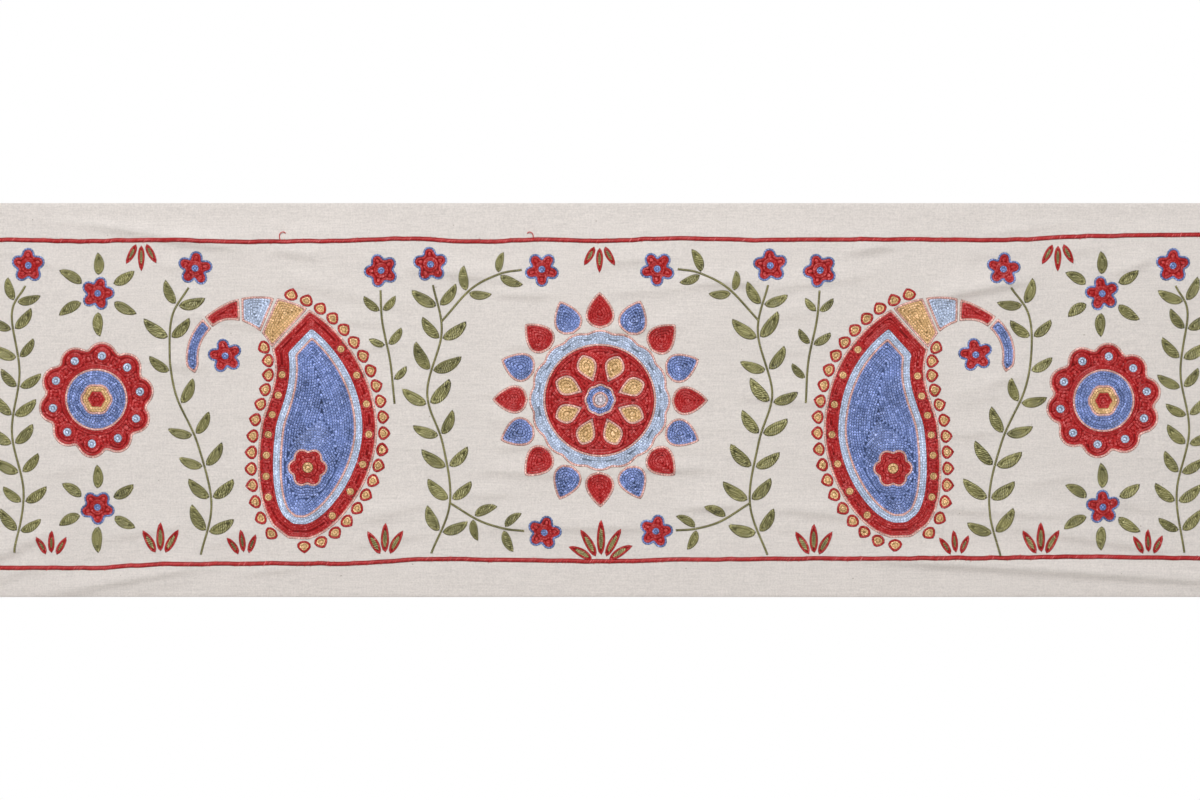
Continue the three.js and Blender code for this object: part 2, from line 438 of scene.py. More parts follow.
@lru_cache(maxsize=1)
def face_grid(hem_depth, edge_radius):
    """The marks of the cloth's grid across and up, and where its face lies at their crossings."""
    # Close marks over the rounded edge, across the hem, and down the step at its inner edge
    near_edges = np.concatenate([
        edge_radius * np.array([0, 0.12, 0.45, 1.0]),
        hem_depth * np.array([0.35, 0.7, 0.96]),
        hem_depth + edge_radius * np.array([0.1, 0.5, 1.1]),
    ])
    columns = grid_marks(-HALF_WIDTH, HALF_WIDTH, near_edges, COLUMN_PITCH)
    rows = grid_marks(-DROP, 0, near_edges, ROW_PITCH)
    return columns, rows, folded_y(*np.meshgrid(columns, rows, indexing="ij"), hem_depth)


def cloth_grid():
    """The grid of the cloth as it is set."""
    settings = bpy.context.scene.suzani_cloth
    return face_grid(settings.hem_depth, HEM_LAYERS * settings.thickness / 2)


def front_y(x, z):
    """Where the face of the cloth lies at each place, flat within each triangle of its grid."""
    columns, rows, depths = cloth_grid()
    i = np.clip(np.searchsorted(columns, x) - 1, 0, len(columns) - 2)
    j = np.clip(np.searchsorted(rows, z) - 1, 0, len(rows) - 2)
    across = (x - columns[i]) / (columns[i + 1] - columns[i])
    up = (z - rows[j]) / (rows[j + 1] - rows[j])
    third = np.where(across > up, depths[i + 1, j], depths[i, j + 1])
    return (
        depths[i, j] * (1 - np.maximum(across, up))
        + depths[i + 1, j + 1] * np.minimum(across, up)
        + third * np.abs(across - up)
    )


def layers_at(x, z, settings):
    """The thickness of the cloth at each place: a few layers over the hem, and one within it."""
    to_edge = edge_distance(x, z)
    past_hem = smooth((to_edge - settings.hem_depth) / settings.thickness)
    return settings.thickness * (HEM_LAYERS - (HEM_LAYERS - 1) * past_hem)


def edge_distance(x, z):
    """How far places are from the cloth's nearest edge."""
    return np.minimum(HALF_WIDTH - np.abs(x), np.minimum(-z, z + DROP))


def back_y(x, z):
    """Where the back of the cloth lies at each place."""
    return front_y(x, z) + layers_at(x, z, bpy.context.scene.suzani_cloth)


def cloth_mesh(settings):
    """The sheet with its turned hem: two faces that close over a rounded edge."""
    edge_radius = HEM_LAYERS * settings.thickness / 2
    columns, rows, _ = cloth_grid()
    x, z = (values.ravel() for values in np.meshgrid(columns, rows, indexing="ij"))

    past_round = np.clip(edge_radius - edge_distance(x, z), 0, edge_radius)
    rounding = edge_radius - np.sqrt(edge_radius**2 - past_round**2)
    front = np.stack([x, front_y(x, z) + rounding, z], axis=1)
    back = np.stack([x, back_y(x, z) - rounding, z], axis=1)

    place = np.arange(len(x)).reshape(len(columns), len(rows))
    rim = np.zeros(place.shape, bool)
    rim[[0, -1]] = rim[:, [0, -1]] = True
    rim = rim.ravel()
    behind = np.where(rim, np.arange(len(x)), len(x) + np.cumsum(~rim) - 1).reshape(place.shape)
    points = np.vstack([front, back[~rim]])

    def squares(index):
        return np.stack([index[:-1, :-1], index[1:, :-1], index[1:, 1:], index[:-1, 1:]], axis=-1)

    # Both faces are split along the same diagonal, which front_y reckons with
    back_faces = squares(behind).reshape(-1, 4)[:, [0, 3, 2, 1]]
    faces = np.vstack([squares(place).reshape(-1, 4), back_faces])
    return mesh_of("cotton_cloth", points, faces)


def mesh_of(name, points, faces):
    """A smooth-shaded mesh from arrays, all its faces with the same number of corners."""
    mesh = bpy.data.meshes.new(name)
    count, corners = faces.shape
    mesh.vertices.add(len(points))
    mesh.vertices.foreach_set("co", points.astype(np.float32).ravel())
    mesh.loops.add(faces.size)
    mesh.loops.foreach_set("vertex_index", faces.astype(np.int32).ravel())
    mesh.polygons.add(count)
    mesh.polygons.foreach_set("loop_start", np.arange(0, faces.size, corners, dtype=np.int32))
    mesh.polygons.foreach_set("use_smooth", np.ones(count, bool))
    mesh.update(calc_edges=True)
    mesh.validate()
    return mesh


def add_piece(name, mesh):
    """Links a mesh as a piece that rides on the hanging and takes the cloth's finish."""
    piece = bpy.data.objects.new(name, mesh)
    bpy.context.collection.objects.link(piece)
    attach(piece, "root")
    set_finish(piece, "cloth")
    return piece


# Lines and outlines on the flat cloth

def area(loops, fill, edge=None, edge_rows=1, plain=(), row_share=1.0):
    return Area(loops, list(plain), fill, edge or fill, edge_rows, row_share)


def toward(angle, reach):
    return reach * np.array([math.cos(angle), math.sin(angle)])


def directions(headings):
    return np.stack([np.cos(headings), np.sin(headings)], axis=1)


def leftward(steps):
    return np.stack([-steps[:, 1], steps[:, 0]], axis=1)


def lengths(steps):
    return np.hypot(*steps.T)[:, None]


def run_along(points):
    """The length run at each point of a line."""
    steps = np.hypot(*np.diff(points, axis=0).T)
    return np.concatenate([[0], np.cumsum(steps)])


def at_marks(points, run, marks):
    """The places on a line at marks of the length run along it."""
    return np.stack([np.interp(marks, run, points[:, k]) for k in (0, 1)], axis=1)


def place_along(points, share):
    """A place at a share of a line's length, and the heading there."""
    run = run_along(points)
    marks = np.clip(np.array([share - 0.02, share, share + 0.02]), 0, 1) * run[-1]
    before, here, after = at_marks(points, run, marks)
    return here, math.atan2(*(after - before)[::-1])


def spread_out(points, count):
    """Evenly spaced places along a line, with both its ends."""
    run = run_along(points)
    return at_marks(points, run, np.linspace(0, run[-1], count))


def soft_line(knots, steps=10):
    """A smooth line through knots, with a cubic curve from each to the next."""
    knots = np.asarray(knots, float)
    ends = np.vstack([2 * knots[0] - knots[1], knots, 2 * knots[-1] - knots[-2]])
    share = np.linspace(0, 1, steps, endpoint=False)[:, None]
    pieces = [
        0.5 * (2 * b + (c - a) * share + (2 * a - 5 * b + 4 * c - d) * share**2
               + (3 * b - a - 3 * c + d) * share**3)
        for a, b, c, d in zip(ends, ends[1:], ends[2:], ends[3:])
    ]
    return np.vstack(pieces + [knots[-1:]])


def ring(centre, radius, lobes=0, depth=0.0, turn=0.0):
    """A circle, or one whose radius swells at each of its lobes."""
    sides = max(20, 9 * lobes, int(radius / RING_STEP))
    angles = np.linspace(0, 2 * math.pi, sides, endpoint=False)
    swell = np.abs(np.cos(lobes * (angles - turn) / 2)) ** 0.7
    reach = radius * (1 - depth * (1 - swell))
    return np.asarray(centre) + directions(angles) * reach[:, None]


def spine_of(root, heading, length, bend, power=1.0, steps=14):
    """Shares, points and headings of a line that turns by bend over its length."""
    share = np.linspace(0, 1, steps + 1)
    headings = heading + bend * share**power
    mids = (headings[1:] + headings[:-1]) / 2
    moves = directions(mids) * (length / steps)
    points = np.asarray(root) + np.vstack([[0, 0], np.cumsum(moves, axis=0)])
    return share, points, headings


def both_sides(points, headings, half):
    """The lines to the left and to the right of a line, at half widths from it."""
    across = leftward(directions(headings)) * half[:, None]
    return points + across, points - across


def blade(root, heading, length, width, bend=0.0, widest=0.42):
    """A leaf or petal: pointed at both ends, widest at a share of its length."""
    share, points, headings = spine_of(root, heading - bend / 2, length, bend)
    half = width / 2 * np.sin(math.pi * share ** (math.log(0.5) / math.log(widest))) ** 0.8
    left, right = both_sides(points, headings, half)
    return np.vstack([left, right[-2:0:-1]])


# Depths within an area, and the lines along which they are level

def depth_inside(points, loops):
    """How deep points lie in the area between closed loops. It is less than 0 outside."""
    nearest = np.full(len(points), np.inf)
    inside = np.zeros(len(points), bool)
    x, z = points.T
    for loop in loops:
        for (ax, az), (bx, bz) in zip(loop, np.roll(loop, -1, axis=0)):
            run_x, run_z = bx - ax, bz - az
            run = run_x**2 + run_z**2
            if run == 0:
                continue
            along = np.clip(((x - ax) * run_x + (z - az) * run_z) / run, 0, 1)
            gap = (x - ax - along * run_x) ** 2 + (z - az - along * run_z) ** 2
            np.minimum(nearest, gap, out=nearest)
            if run_z:
                crosses = (az > z) != (bz > z)
                inside ^= crosses & (x < ax + (z - az) * run_x / run_z)
    return np.sqrt(nearest) * np.where(inside, 1, -1)


def depth_grid(loops):
    """Depths on a square grid over an area, and the grid's low corner."""
    corners = np.vstack(loops)
    low = corners.min(axis=0) - 2 * DEPTH_STEP
    counts = np.ceil((corners.max(axis=0) - low) / DEPTH_STEP).astype(int) + 3
    steps = np.stack(np.meshgrid(*map(np.arange, counts), indexing="ij"), axis=-1)
    places = low + DEPTH_STEP * steps.reshape(-1, 2)
    return depth_inside(places, loops).reshape(counts), low


def level_lines(depth, low, level):
    """The closed lines along which a grid of depths crosses a level, by marching squares."""
    above = depth > level
    corners = above[:-1, :-1].astype(int) + above[1:, :-1] + above[:-1, 1:] + above[1:, 1:]
    places = {}
    links = {}

    def cut(i, j, next_i, next_j):
        key = (i, j, next_i)
        if key not in places:
            share = (level - depth[i, j]) / (depth[next_i, next_j] - depth[i, j])
            step = np.array([i + share * (next_i - i), j + share * (next_j - j)])
            places[key] = low + DEPTH_STEP * step
        return key

    for i, j in zip(*np.nonzero((corners > 0) & (corners < 4))):
        sides = (
            (i, j, i + 1, j), (i + 1, j, i + 1, j + 1), (i, j + 1, i + 1, j + 1), (i, j, i, j + 1)
        )
        cuts = [cut(*side) for side in sides if above[side[:2]] != above[side[2:]]]
        if len(cuts) == 4 and (depth[i:i + 2, j:j + 2].mean() > level) == above[i, j]:
            cuts = cuts[1:] + cuts[:1]
        for one, other in zip(cuts[::2], cuts[1::2]):
            links.setdefault(one, []).append(other)
            links.setdefault(other, []).append(one)
    return [np.array([places[key] for key in keys]) for keys in chains(links)]


def chains(links):
    """Follows linked keys into chains, each key once."""
    found = []
    while links:
        here = next(iter(links))
        chain = []
        while here in links:
            chain.append(here)
            onward = [key for key in links.pop(here) if key in links]
            for key in onward:
                links[key] = [back for back in links[key] if back != here]
            here = onward[0] if onward else None
        found.append(chain)
    return found


def inset(loop, distance):
    """The longest line that runs inside a loop at a distance from it."""
    depth, low = depth_grid([loop])
    line = max(level_lines(depth, low, distance), key=len)
    return line[::3]


# Motifs

def middle_rosette():
    """Pointed petals, red and blue in turn, around rings of blue and red."""
    centre = np.array([0, -DROP / 2])
    petals = 16
    works = []
    for k in range(petals):
        angle = 2 * math.pi * k / petals
        petal = blade(centre + toward(angle, 71 * MM), angle, 36 * MM, 29 * MM, widest=0.36)
        works.append(area([petal], "mid_blue" if k % 2 else "crimson", "peach"))
    edge = ring(centre, 70 * MM, petals, depth=0.05)
    collar = ring(centre, 54 * MM)
    heart = ring(centre, 16 * MM, lobes=8, depth=0.1)
    eye = ring(centre, 6 * MM)
    seeds = [
        blade(centre + toward(angle, 19 * MM), angle, 29 * MM, 20 * MM, widest=0.6)
        for angle in (np.arange(8) + 0.5) * math.pi / 4
    ]
    return works + [
        area([edge, collar], "light_blue", "peach"),
        area([collar, heart], "crimson", plain=seeds),
        *(area([seed], "gold", "peach") for seed in seeds),
        area([heart, eye], "mid_blue", "peach"),
        area([eye], "pale_pink"),
    ]


def side_rosette(side):
    """A scalloped red ring set with studs, around a blue ring and a red heart edged in gold."""
    centre = np.array([side * 503 * MM, -DROP / 2])
    lobes = 10
    turn = 0.2
    edge = ring(centre, 58 * MM, lobes, depth=0.17, turn=turn)
    collar = ring(centre, 31 * MM)
    core = ring(centre, 14 * MM, lobes=6, depth=0.14)
    angles = turn + 2 * math.pi * np.arange(lobes) / lobes
    studs = [ring(centre + toward(angle, 44 * MM), 4.4 * MM) for angle in angles]
    return [
        area([edge], "crimson", "peach", plain=[collar, *studs]),
        *(area([stud], "light_blue", row_share=0.9) for stud in studs),
        area([collar, core], "mid_blue", "peach"),
        area([core], "crimson", "gold", edge_rows=2),
    ]


def paisley_spine(side):
    """Shares, points, headings and half widths from the round foot to the curled tip."""
    root = (side * 311 * MM, -335 * MM)
    share, points, headings = spine_of(
        root, math.pi / 2 + side * 0.34, 368 * MM, -side * 3.9, power=2.4, steps=80
    )
    foot = 0.3
    low = np.sqrt(np.clip(1 - (1 - share / foot) ** 2, 0, 1))
    onward = np.clip((share - foot) / (1 - foot), 0, 1)
    high = np.maximum(0.5 + 0.5 * np.cos(math.pi * onward**0.78), 0.11)
    tip = np.sqrt(np.clip((1 - share) / 0.04, 0, 1))
    half = 58 * MM * np.where(share < foot, low, np.minimum(high, tip))
    return share, points, headings, half


def paisley_part(spine, start, end):
    """The part of a paisley between two shares of its length, as a closed outline."""
    share, points, headings, half = spine
    marks = np.linspace(start, end, max(4, int((end - start) * 60)))
    place = at_marks(points, share, marks)
    sides = both_sides(place, np.interp(marks, share, headings), np.interp(marks, share, half))
    return np.vstack([sides[0], sides[1][::-1]])


def paisley(side, row):
    """A drop with a red coat, a blue middle, a banded tip and a fringe of gold teeth."""
    spine = paisley_spine(side)
    share, points, headings, half = spine
    body = paisley_part(spine, 0, 0.6)
    coat = inset(body, 6.2 * row)
    lining = inset(body, 9 * row)
    middle = np.array([side * 292 * MM, -265 * MM])
    bloom = ring(middle, 18 * MM, lobes=6, depth=0.3)
    eye = ring(middle, 5.5 * MM)
    studs = []
    for edge in both_sides(points, headings, half - 3.5 * row):
        line = edge[(share > 0.05) & (share < 0.53)]
        studs += [ring(place_along(line, (k + 0.5) / 7)[0], 3.8 * MM) for k in range(7)]
    tip_bands = [
        area([paisley_part(spine, start, end)], thread, "peach")
        for start, end, thread in (
            (0.604, 0.668, "gold"),
            (0.674, 0.745, "light_blue"),
            (0.751, 0.845, "crimson"),
            (0.851, 0.998, "mid_blue"),
        )
    ]
    works = [
        area([body], "crimson", "peach", plain=[coat, *studs]),
        *(area([stud], "gold", row_share=0.85) for stud in studs),
        area([coat, lining], "light_blue"),
        area([lining, bloom], "mid_blue", "peach"),
        area([bloom, eye], "crimson"),
        area([eye], "gold"),
        *tip_bands,
    ]
    for turn, edge in zip((1, -1), both_sides(points, headings, half)):
        line = edge[share < 0.68]
        count = round(run_along(line)[-1] / (15.5 * MM))
        for k in range(1, count):
            place, heading = place_along(line, k / count)
            out = heading + turn * math.pi / 2
            tooth = blade(place + toward(out, 0.6 * MM), out, 13 * MM, 14 * MM, widest=0.4)
            works.append(area([tooth], "gold", "crimson"))
    return works


def flower(centre, turn):
    """Five red petals edged in blue around a blue heart."""
    petals = ring(centre, FLOWER_RADIUS, lobes=5, depth=0.42, turn=turn)
    heart = ring(centre, 0.21 * FLOWER_RADIUS)
    return [
        area([petals], "crimson", "mid_blue", plain=[heart], row_share=0.88),
        area([heart], "mid_blue", row_share=0.88),
    ]


def leaf(root, heading, length, width, bend, edge=None):
    """A leaf of slanting strands, which may be edged in another thread."""
    return [area([blade(root, heading, length, width, bend)], LEAF_THREAD, edge)]


def tuft(root, heading, size, blades):
    """Pointed leaves edged in red, fanned from one root."""
    motifs = []
    width = min(WIDEST_TUFT_LEAF, TUFT_LEAF * size)
    for k in range(blades):
        lean = k - (blades - 1) / 2
        tilt = heading + 0.52 * lean
        reach = size * (1 - 0.12 * abs(lean))
        start = root + toward(tilt, 10 * MM)
        motifs.append(leaf(start, tilt, reach, width, bend=0.2 * lean, edge="crimson"))
    return motifs


def posy(centre, leaves, reach, rng):
    """A flower within a ring of leaves."""
    motifs = [flower(centre, rng.uniform(0, 1))]
    for k in range(leaves):
        angle = 2 * math.pi * (k + 0.5) / leaves + rng.uniform(-0.08, 0.08)
        root = centre + toward(angle, 19 * MM)
        size = reach * rng.uniform(0.9, 1.06)
        motifs.append(leaf(root, angle, size, POSY_LEAF * reach, bend=0.5))
    return motifs


def vine(knots, leaf_pairs, reach, start, pitch, rng):
    """A stem with leaves to both sides and one at its tip."""
    stem = soft_line(knots)
    motifs = [[Line(stem, LEAF_THREAD, pitch, STEM_SHARE, SLANT)]]
    for k in range(leaf_pairs):
        place, heading = place_along(stem, start + (1 - start) * (k + 0.35) / leaf_pairs)
        for side in (-1, 1):
            tilt = heading + side * rng.uniform(0.72, 0.95)
            size = reach * rng.uniform(0.86, 1.06)
            root = place + toward(tilt, 2.2 * MM)
            motifs.append(leaf(root, tilt, size, VINE_LEAF * size, bend=-0.7 * side))
    place, heading = place_along(stem, 1.0)
    tip = place + toward(heading, 1.5 * MM)
    motifs.append(leaf(tip, heading, reach, VINE_LEAF * reach, bend=0.3))
    return motifs


def meets(shape, other, gap):
    """True where two closed outlines come nearer than a gap."""
    low, high = shape.min(axis=0) - gap, shape.max(axis=0) + gap
    if (other.min(axis=0) > high).any() or (other.max(axis=0) < low).any():
        return False
    return depth_inside(shape, [other]).max() > -gap or depth_inside(other, [shape]).max() > -gap


def clear_of(motifs, outlines):
    """The works of motifs that keep clear of the outlines and of each other. Stems meet leaves."""
    taken = list(outlines)
    works = []
    for motif in motifs:
        if isinstance(motif[0], Area):
            shape = motif[0].loops[0]
            if any(meets(shape, other, LEAF_CLEARANCE) for other in taken):
                continue
            taken.append(shape)
        works += motif
    return works


def greenery(side, stitch, rng):
    """Vines, flowers, posies and tufts of one half, clear of its rosettes and its paisley."""
    def at(x, z):
        return np.array([side * x * MM, z * MM])

    motifs = [flower(at(spot.x, spot.z), spot.turn) for spot in FLOWERS]
    for spot in VINES:
        knots = [at(x, z) for x, z in spot.knots]
        reach = spot.leaf_length * MM
        motifs += vine(knots, spot.leaf_pairs, reach, spot.start, stitch.leaf_pitch, rng)
    for spot in POSIES:
        motifs += posy(at(spot.x, spot.z), spot.leaves, spot.leaf_length * MM, rng)
    for spot in TUFTS + (MIDDLE_TUFTS if side > 0 else ()):
        motifs += tuft(at(spot.x, spot.z), math.radians(spot.heading), spot.size * MM, spot.blades)
    large = middle_rosette() + side_rosette(side) + paisley(side, stitch.row_width)
    return clear_of(motifs, [work.loops[0] for work in large])


def border_works(pitch):
    """Two border lines, each a row of stitches that slant like the strands of a rope."""
    works = []
    x = np.linspace(-HALF_WIDTH + BORDER_STOP, HALF_WIDTH - BORDER_STOP, 500)
    for table in (TOP_BORDER, BOTTOM_BORDER):
        at, height = np.array(table).T * MM
        k = np.clip(np.searchsorted(at, x) - 1, 0, len(at) - 2)
        z = height[k] + (height[k + 1] - height[k]) * smooth((x - at[k]) / (at[k + 1] - at[k]))
        z += BORDER_WANDER * patchy(x, z, 12 * MM, DROP, SEED)
        works.append(Line(np.stack([x, z], axis=1), "crimson", pitch, BORDER_SHARE, SLANT))
    return works


# Stitches

def hand_drift(points):
    """The small wander of lines that were drawn and worked by hand."""
    x, z = points.T
    drift_x = np.sin(z / (31 * MM) + x / (67 * MM)) + 0.5 * np.sin(x / (19 * MM) - z / (23 * MM))
    drift_z = np.sin(x / (37 * MM) - z / (59 * MM)) + 0.5 * np.sin(z / (17 * MM) + x / (21 * MM))
    return points + HAND_DRIFT * np.stack([drift_x, drift_z], axis=1)


def stitched(points, thread, width, pitch, closed, slant):
    """A row of stitches along a line, if the line is long enough for one."""
    path = np.vstack([points, points[:1]]) if closed else points
    run = run_along(path)
    whole = run[-1]
    if whole < 0.6 * pitch:
        return []
    corners = sharp_turns(path, run) if closed and whole > 4 * CORNER_REACH else []
    if len(corners):
        bounds = np.append(corners, corners[0] + whole)
        counts = [max(1, round(span / pitch)) for span in np.diff(bounds)]
        spans = zip(bounds, bounds[1:], counts)
        marks = np.concatenate([np.linspace(a, b, n, endpoint=False) for a, b, n in spans])
        marks = np.append(marks, bounds[-1]) % whole
    else:
        least = max(2, min(LEAST_ROUND, int(2 * whole / pitch))) if closed else 1
        marks = np.linspace(0, whole, max(least, round(whole / pitch)) + 1)
    return [Row(hand_drift(at_marks(path, run, marks)), thread, width, slant)]


def sharp_turns(path, run):
    """The runs at which a closed path turns sharply, in order."""
    marks = np.arange(0, run[-1], CORNER_REACH / 6)
    shifts = (-CORNER_REACH, 0, CORNER_REACH)
    before, here, after = (at_marks(path, run, (marks + shift) % run[-1]) for shift in shifts)
    back, ahead = here - before, after - here
    turn = np.abs(np.arctan2(np.cross(back, ahead), (back * ahead).sum(axis=1)))
    found = []
    while turn.max() > CORNER_TURN:
        mark = marks[turn.argmax()]
        found.append(mark)
        gap = np.abs(marks - mark)
        turn[np.minimum(gap, run[-1] - gap) < CORNER_REACH] = 0
    return np.sort(found)


def mean_width(loop):
    """Twice a loop's area over its length, which is about the width of a narrow one."""
    x, z = (loop - loop[0]).T
    return abs(np.sum(x * np.roll(z, -1) - z * np.roll(x, -1))) / run_along(loop)[-1]


def middle_line(loop, reach):
    """The line between the long sides of a narrow loop, with a reach past both its ends."""
    gaps = np.hypot(*(loop[:, None] - loop[None]).T)
    first, last = sorted(np.unravel_index(gaps.argmax(), gaps.shape))
    there, back = loop[first:last + 1], np.vstack([loop[last:], loop[:first + 1]])[::-1]
    count = max(2, len(loop) // 4)
    line = (spread_out(there, count) + spread_out(back, count)) / 2
    for end, beside in ((0, 1), (-1, -2)):
        outward = line[end] - line[beside]
        line[end] += reach * outward / np.hypot(*outward)
    return line


def deeper_on_left(line, depth, low):
    """True if the area of a grid of depths gets deeper to the left of a level line."""
    ahead = np.roll(line, -2, axis=0) - line
    across = leftward(ahead) / lengths(ahead)
    left, right = (
        depth[tuple(np.round((line - low) / DEPTH_STEP + 1.2 * side * across).astype(int).T)]
        for side in (1, -1)
    )
    return left.sum() > right.sum()


def rows_of(work, stitch):
    """The rows of a line, or of an area: each follows the outline one row further in."""
    if isinstance(work, Line):
        width = work.row_share * stitch.row_width
        return stitched(work.points, work.thread, width, work.pitch, False, work.slant)
    depth, low = depth_grid(work.loops + work.plain)
    wanted = work.row_share * stitch.row_width
    outlined = work.edge_rows == 1 and work.edge != work.fill
    edge = OUTLINE_SHARE * wanted if outlined else 0
    count = max(1, round((depth.max() - edge) / wanted))
    width = min((depth.max() - edge) / count, WIDEST_SHARE * wanted)
    levels = [(edge / 2, edge)] if edge else []
    levels += [(edge + (k + 0.5) * width, width) for k in range(count)]
    rows = []
    for k, (level, width) in enumerate(levels):
        for line in level_lines(depth, low, level):
            if not deeper_on_left(line, depth, low):
                line = line[::-1]
            by_gap = any(depth_inside(line[:1], [gap])[0] > -level - width / 2 for gap in work.plain)
            thread = work.edge if k < work.edge_rows and not by_gap else work.fill
            slant, pitch = (SLANT, stitch.leaf_pitch) if thread == LEAF_THREAD else (0, stitch.pitch)
            closed = mean_width(line) >= NARROW * width
            if not closed:
                line = middle_line(line, NARROW * width)
            rows += stitched(line, thread, width, pitch, closed, slant)
    return rows


def deselect_all():
    if bpy.context.object and bpy.context.object.mode != "OBJECT":
        bpy.ops.object.mode_set(mode="OBJECT")
    bpy.ops.object.select_all(action="DESELECT")


def move_part(mesh, low, high, offset):
    """Moves the vertices of an edited mesh that lie between two places along X."""
    bpy.ops.mesh.select_all(action="DESELECT")
    bpy.ops.object.mode_set(mode="OBJECT")
    for vertex in mesh.vertices:
        vertex.select = low < vertex.co.x < high
    bpy.ops.object.mode_set(mode="EDIT")
    bpy.ops.transform.translate(value=offset)


def strand_model(size):
    """A slim strand along X in edit mode, pointed at both ends, with a ridge over a flat foot."""
    deselect_all()
    bpy.ops.mesh.primitive_uv_sphere_add(
        segments=3, ring_count=3, radius=0.5, rotation=(math.pi / 2, 0, math.pi / 2)
    )
    strand = bpy.context.object
    bpy.ops.object.transform_apply(location=True, rotation=True, scale=True)
    bpy.ops.object.mode_set(mode="EDIT")
    bpy.ops.mesh.select_mode(type="VERT")
    bpy.ops.mesh.select_all(action="SELECT")
    bpy.ops.transform.resize(value=size, center_override=(0, 0, 0))
    bpy.ops.mesh.quads_convert_to_tris()
    return strand


def taken_apart(model):
    """The arrays of a model, whose object is then removed."""
    bpy.ops.object.mode_set(mode="OBJECT")
    mesh = model.data
    points = np.array([vertex.co for vertex in mesh.vertices])
    faces = np.array([face.vertices for face in mesh.polygons])
    uvs = np.array([corner.uv for corner in mesh.uv_layers.active.data])
    bpy.data.objects.remove(model)
    bpy.data.meshes.remove(mesh)
    return Model(points, faces, uvs)


def chain_stitch_model():
    """One chain stitch from 0 to 1: a loop of two strands that is round at its head."""
    span = (1 + STITCH_OVERLAP) / 2
    strand = strand_model((2 * span, LOOP_STRAND, 1))
    # It starts near the middle line, bows out, and dips at its head, under the next stitch
    move_part(strand.data, -span - 1, -0.9 * span, (0, -0.14, 0.08))
    move_part(strand.data, -0.9 * span, 0, (0, -0.04, 0.05))
    move_part(strand.data, 0, 0.9 * span, (0, 0.06, -0.04))
    move_part(strand.data, 0.9 * span, span + 1, (0, -0.08, -0.1))
    bpy.ops.mesh.select_all(action="SELECT")
    bpy.ops.transform.translate(value=(0.5, 0.2, 0.2))
    bpy.ops.mesh.duplicate()
    bpy.ops.transform.resize(value=(1, -1, 1), center_override=(0, 0, 0))
    bpy.ops.mesh.flip_normals()
    return taken_apart(strand)


def run_model(width):
    """One straight run of thread from 0 to 1."""
    strand = strand_model((RUN_LENGTH, width, 1))
    bpy.ops.transform.translate(value=(0.5, 0, 0.2))
    return taken_apart(strand)


def laid_along(model, starts, ends, widths, heights, surface, outward):
    """Copies of a model from each start to its end, on a surface given as y at x and z."""
    run = ends - starts
    u, v, h = model.points.T
    across = leftward(run) / lengths(run) * widths[:, None]
    x, z = (starts[:, k, None] + u * run[:, k, None] + v * across[:, k, None] for k in (0, 1))
    y = surface(x.ravel(), z.ravel()).reshape(x.shape) + outward * h * heights[:, None]
    points = np.stack([x, y, z], axis=-1).reshape(-1, 3)
    base = (np.arange(len(starts)) * len(model.points))[:, None, None]
    corners = model.faces if outward < 0 else model.faces[:, ::-1]
    return points, (base + corners).reshape(-1, 3)


def ends_of(lines):
    """The starts and the ends of all steps along lines."""
    return np.vstack([line[:-1] for line in lines]), np.vstack([line[1:] for line in lines])


def per_step(lines, values):
    """One value per line, repeated for each of its steps."""
    return np.repeat(values, [len(line) - 1 for line in lines])


def face_stitches(rows, slots, model, rng):
    """Copies of a model along rows on the face of the cloth, each a little off, as by hand."""
    stitch = bpy.context.scene.suzani_stitch
    lines = [row.ends for row in rows]
    starts, ends = ends_of(lines)
    widths = per_step(lines, [row.width for row in rows])
    run = ends - starts
    slant = per_step(lines, [row.slant for row in rows])
    run *= np.where(slant, SLANT_REACH * widths / np.hypot(*run.T), 1)[:, None]
    turn = slant + rng.normal(0, HAND_TURN, len(run))
    along, over = np.cos(turn)[:, None], np.sin(turn)[:, None]
    run = along * run + over * leftward(run)
    run *= 1 + rng.normal(0, HAND_LENGTH, len(run))[:, None]
    middle = (starts + ends) / 2 + rng.normal(0, HAND_SHIFT, run.shape) * widths[:, None]
    heights = stitch.height * (1 + rng.normal(0, HAND_HEIGHT, len(run)))
    tones = per_step(lines, rng.normal(OWN_TONE, ROW_TONE, len(rows)))
    tones += rng.normal(0, STITCH_TONE, len(run))
    points, faces = laid_along(
        model, middle - run / 2, middle + run / 2, widths, heights, front_y, outward=-1
    )
    # Painted shade and highlight: a stitch's tone falls with its height down its sides to its foot
    # and rises over its top, and never falls below the beds' painted shade
    height = model.points[:, 2]
    tones = tones[:, None] + PAINTED_DEPTH_SHADE * (height - (height.min() + height.max()) / 2)
    tones = np.maximum(tones, PAINTED_BED_SHADE)
    return Part(
        points, faces, np.repeat(per_step(lines, slots), len(model.faces)),
        tones.ravel(), np.tile(model.uvs, (len(run), 1)), FACE_CELLS,
    )


def mitred(line):
    """What points across a line at each of its points, longer where the line turns sharply."""
    steps = np.diff(line, axis=0)
    steps /= lengths(steps)
    closed = np.allclose(line[0], line[-1])
    first, last = (steps[-1], steps[0]) if closed else (steps[0], steps[-1])
    ahead = np.vstack([first, steps]) + np.vstack([steps, last])
    reach = np.maximum(lengths(ahead), 1e-6)
    return leftward(ahead) * (np.minimum(2 / reach, MOST_MITRE) / reach)


def tube_faces(rings, sides):
    """The triangles of a tube with closed ends, whose points come ring after ring."""
    here = sides * np.arange(rings - 1)
    last = sides * (rings - 1)
    faces = []
    for k in range(sides):
        one, other = here + k, here + (k + 1) % sides
        faces.append(np.stack([one, one + sides, other + sides], axis=1))
        faces.append(np.stack([one, other + sides, other], axis=1))
    for k in range(1, sides - 1):
        faces.append(np.array([[0, k, k + 1], [last, last + k + 1, last + k]]))
    return np.vstack(faces)


